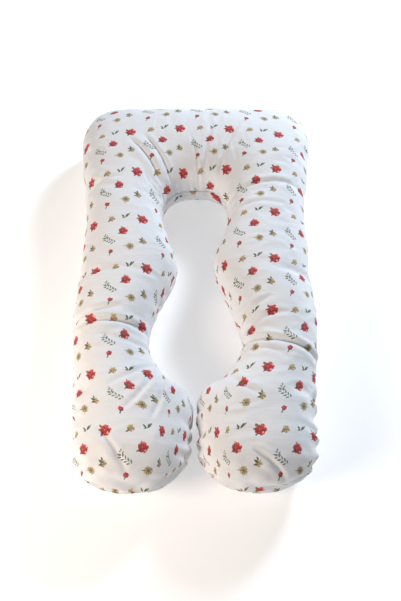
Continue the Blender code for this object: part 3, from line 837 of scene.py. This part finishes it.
cover_top = cover_panel("cover_top", cover, filled, 1, cotton)
cover_bottom = cover_panel("cover_bottom", cover, filled, -1, cotton)
case_top = inner_layer("case_top", cover, filled, bag_normals, CASE_DEPTH, (1,), casing)
case_bottom = inner_layer("case_bottom", cover, filled, bag_normals, CASE_DEPTH, (-1,), casing)
filling = inner_layer("filling", cover, filled, bag_normals, FILLING_DEPTH, (1, -1), fibre)
for piece, node, slot, fill in (
        (cover_top, "cover_top_panel", "printed_cotton", 0.85),
        (cover_bottom, "cover_bottom_panel", "printed_cotton", 0.85),
        (case_top, "inner_case_top", "nonwoven_casing", 0.85),
        (case_bottom, "inner_case_bottom", "nonwoven_casing", 0.85),
        (filling, "fibre_fill", "polyester_fibre", 0.9)):
    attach(piece, "pillow")
    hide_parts(node)


# ---- Zip ----

ZIP_HALF = 0.200
LABEL_X = 0.165
LABEL_SIZE = (0.030, 0.029)
TAPE_Y = 0.6926
TAPE_INNER, TAPE_OUTER = 0.0037, 0.0167
TAPE_HALF = ZIP_HALF + 0.007
COIL_PITCH = 0.0015
COIL_WIRE = 0.00034
COIL_MIDDLE, COIL_REACH, COIL_RISE = 0.0021, 0.00094, 0.00084
STITCH_PITCH = 0.0034
stitching = seam_thread()
tape_cloth, nylon, nickel, satin = tape_weave(), coil_nylon(), plated_metal(), woven_satin()


def finish_piece(piece, name, look, thickness=0.0, angle=40):
    piece.name = piece.data.name = name
    only(piece)
    bpy.ops.object.transform_apply(location=True, rotation=True, scale=True)
    if thickness:
        doubled = piece.modifiers.new("cloth", "SOLIDIFY")
        doubled.thickness, doubled.offset = thickness, 0
        bpy.ops.object.modifier_apply(modifier="cloth")
    bpy.ops.object.shade_smooth_by_angle(angle=math.radians(angle))
    piece.data.materials.clear()
    piece.data.materials.append(look)
    return piece


def on_panel(panel, x, z, lift):
    """Point on the outside of a cover panel at the back of the head."""
    hit, spot, normal, _ = panel.ray_cast((x, BACK + 0.05, z), (0, -1, 0))
    return spot + normal * lift if hit else Vector((x, BACK, z))


def zip_tape(side, word):
    bpy.ops.object.select_all(action="DESELECT")
    middle = SEAM_HEIGHT + side * (TAPE_INNER + TAPE_OUTER) / 2
    bpy.ops.mesh.primitive_grid_add(
        x_subdivisions=276, y_subdivisions=10, size=1, location=(0, TAPE_Y, middle), rotation=(-math.pi / 2, 0, 0))
    tape = bpy.context.active_object
    tape.scale = (TAPE_HALF * 2, TAPE_OUTER - TAPE_INNER, 1)
    finish_piece(tape, f"tape_{word}", tape_cloth)
    spots = points_of(tape)
    out = (side * (spots[:, 2] - SEAM_HEIGHT) - TAPE_INNER) / (TAPE_OUTER - TAPE_INNER)
    spots[:, 1] -= 0.0010 * out ** 2 + 0.00025 * out * (1 + np.sin(spots[:, 0] * 310 + side))
    spots[:, 1] += 0.00022 * np.exp(-((out - 0.16) / 0.06) ** 2)
    set_points(tape, spots)
    finish_piece(tape, f"tape_{word}", tape_cloth, 0.0005)
    return tape


def zip_coil(side, word):
    """One nylon spiral, whose loops face the other half's."""
    turns = round((2 * ZIP_HALF - 0.001) / COIL_PITCH)
    path = bpy.data.curves.new(f"coil_{word}", "CURVE")
    path.dimensions, path.bevel_depth, path.bevel_resolution = "3D", COIL_WIRE, 0
    path.use_fill_caps = True
    steps = turns * 10
    line = path.splines.new("POLY")
    line.points.add(steps)
    for step, point in enumerate(line.points):
        angle = 2 * math.pi * step / 10
        shift = (0.25 if side > 0 else -0.25) * COIL_PITCH
        x = -turns * COIL_PITCH / 2 + step * COIL_PITCH / 10 + shift
        head = 1.0 + 0.12 * math.cos(angle) ** 6
        z = SEAM_HEIGHT + side * (COIL_MIDDLE - COIL_REACH * math.cos(angle))
        point.co = (x, TAPE_Y + COIL_RISE * math.sin(angle) * head, z, 1)
    coil = bpy.data.objects.new(f"coil_{word}", path)
    bpy.context.scene.collection.objects.link(coil)
    only(coil)
    bpy.ops.object.convert(target="MESH")
    return finish_piece(bpy.context.active_object, f"coil_{word}", nylon, angle=80)


def hem(side, word):
    """The cover's turned edge beside the zip, as a soft roll."""
    path = bpy.data.curves.new(f"hem_{word}", "CURVE")
    path.dimensions, path.bevel_depth, path.bevel_resolution = "3D", 0.00115, 3
    path.use_fill_caps = True
    xs = np.linspace(ZIP_WINDOW_ENDS[0] + 0.004, ZIP_WINDOW_ENDS[1] - 0.004, 190)
    line = path.splines.new("POLY")
    line.points.add(len(xs) - 1)
    for x, point in zip(xs, line.points):
        open_here = float(zip_window(np.array(x)))
        wave = 0.0002 * math.sin(x * 260 + side) + 0.00015 * math.sin(x * 611)
        y = BACK - 0.0056 + wave - 0.0030 * (1 - open_here)
        point.co = (x, y, SEAM_HEIGHT + side * (ZIP_GAP * open_here + 0.0002 + wave), 1)
    roll = bpy.data.objects.new(f"hem_{word}", path)
    bpy.context.scene.collection.objects.link(roll)
    only(roll)
    bpy.ops.object.convert(target="MESH")
    roll = finish_piece(bpy.context.active_object, f"hem_{word}", cotton_plain, angle=80)
    return roll


def stitch_row(side, word, panel):
    """Lockstitches through the hem and the tape, modelled once and copied."""
    bpy.ops.object.select_all(action="DESELECT")
    bpy.ops.mesh.primitive_uv_sphere_add(segments=6, ring_count=5, radius=1)
    model = bpy.context.active_object
    shape = points_of(model) * (STITCH_PITCH * 0.38, 0.00026, 0.00030)
    faces = np.array([list(face.vertices) + [face.vertices[0]] * (4 - len(face.vertices))
                      for face in model.data.polygons])
    bpy.data.objects.remove(model)
    points, quads = [], []
    count = int((ZIP_HALF + 0.006) * 2 / STITCH_PITCH)
    for number in range(count):
        x = (number - (count - 1) / 2) * STITCH_PITCH
        spot = on_panel(panel, x, SEAM_HEIGHT + side * (ZIP_GAP + 0.0046), 0.00008)
        quads.append(faces + number * len(shape))
        points.append(shape + np.array(spot))
    mesh_faces = [[v for k, v in enumerate(face) if v not in face[:k]] for face in np.concatenate(quads).tolist()]
    row = new_object(f"stitches_{word}", np.concatenate(points), mesh_faces)
    return finish_piece(row, f"stitches_{word}", stitching, angle=80)


def care_label(panel):
    """A blank satin label that hangs from the hem over the lower panel."""
    bpy.ops.object.select_all(action="DESELECT")
    bpy.ops.mesh.primitive_grid_add(
        x_subdivisions=20, y_subdivisions=24, size=1, location=(LABEL_X, BACK, SEAM_HEIGHT - 0.0225),
        rotation=(-math.pi / 2, 0, 0))
    label = bpy.context.active_object
    label.scale = (*LABEL_SIZE, 1)
    finish_piece(label, "label", satin)
    spots = points_of(label)
    drop = np.clip((SEAM_HEIGHT - 0.008 - spots[:, 2]) / LABEL_SIZE[1], 0, 1)
    across = (spots[:, 0] - LABEL_X) / 0.015
    for index, spot in enumerate(spots):
        wall = on_panel(panel, spot[0], spot[2], 0)
        curl = 0.0030 * drop[index] ** 2.2 + 0.0007 * drop[index] * math.sin(across[index] * 2.4 + 0.6)
        spots[index, 1] = wall.y + 0.0009 + curl
    set_points(label, spots)
    return finish_piece(label, "label", satin, 0.0003)


def turned_cotton():
    finish = Finish("hem_cotton", (0.86, 0.87, 0.89), 0.82, Sheen_Weight=0.2)
    x = finish.split(finish.place())[0]
    grain = (x * (2 * math.pi / 0.0009)).sin() * 0.5
    crumple = finish.clouds(finish.place(), 0.003, 3.0)
    return finish.paint(
        Base_Color=finish.ramp(crumple, (0.3, (0.78, 0.79, 0.81)), (0.7, (0.87, 0.88, 0.90))),
        Normal=finish.bump(grain * 0.3 + crumple, 0.0004, 0.7))


cotton_plain = turned_cotton()
label = care_label(cover_bottom)
for side, word, panel in ((1, "upper", cover_top), (-1, "lower", cover_bottom)):
    tape, coil = zip_tape(side, word), zip_coil(side, word)
    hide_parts(f"zip_tape_{word}")
    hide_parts(f"zip_coil_{word}")
    edging, row = hem(side, word), stitch_row(side, word, panel)
    for piece in (tape, coil, edging, row):
        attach(piece, "pillow")
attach(label, "pillow")
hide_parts("care_label")

for node in ("zip_top_stop_upper", "zip_top_stop_lower", "zip_bottom_stop", "zip_slider", "zip_pull_tab"):
    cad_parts[node].data.materials.clear()
    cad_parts[node].data.materials.append(nickel)


# ---- Floor, light and camera ----

bpy.ops.object.select_all(action="DESELECT")
bpy.ops.mesh.primitive_grid_add(x_subdivisions=24, y_subdivisions=24, size=60, location=(0, 0, -0.0005))
floor = bpy.context.active_object
floor.name = "floor"
floor.data.materials.append(pale_floor())

world = bpy.data.worlds.new("soft_room")
bpy.context.scene.world = world
world.use_nodes = True
world.node_tree.nodes["Background"].inputs["Color"].default_value = (0.93, 0.96, 1.0, 1)
world.node_tree.nodes["Background"].inputs["Strength"].default_value = 0.32


def area_light(name, spot, aim, size, power, colour):
    light = bpy.data.lights.new(name, "AREA")
    light.shape = "SQUARE"
    light.size, light.energy, light.color = size, power, colour
    made = bpy.data.objects.new(name, light)
    made.location = spot
    made.rotation_euler = (Vector(aim) - Vector(spot)).to_track_quat("-Z", "Y").to_euler()
    bpy.context.scene.collection.objects.link(made)


area_light("cool_window", (2.2, 3.0, 2.25), (0.0, 0.1, 0.1), 0.9, 160, (0.80, 0.89, 1.0))
area_light("warm_lamp", (-1.9, -1.3, 1.3), (-0.1, -0.3, 0.1), 1.0, 42, (1.0, 0.82, 0.66))

bpy.context.scene.view_settings.view_transform = "Standard"
camera = bpy.data.objects.new("camera", bpy.data.cameras.new("camera"))
bpy.context.scene.collection.objects.link(camera)
camera.location = (0.017, -1.391, 2.188)
camera.rotation_euler = (Vector((0.017, -0.096, 0.115)) - camera.location).to_track_quat("-Z", "Y").to_euler()
camera.data.lens = 46.55
camera.data.sensor_width = 36
bpy.context.scene.camera = camera
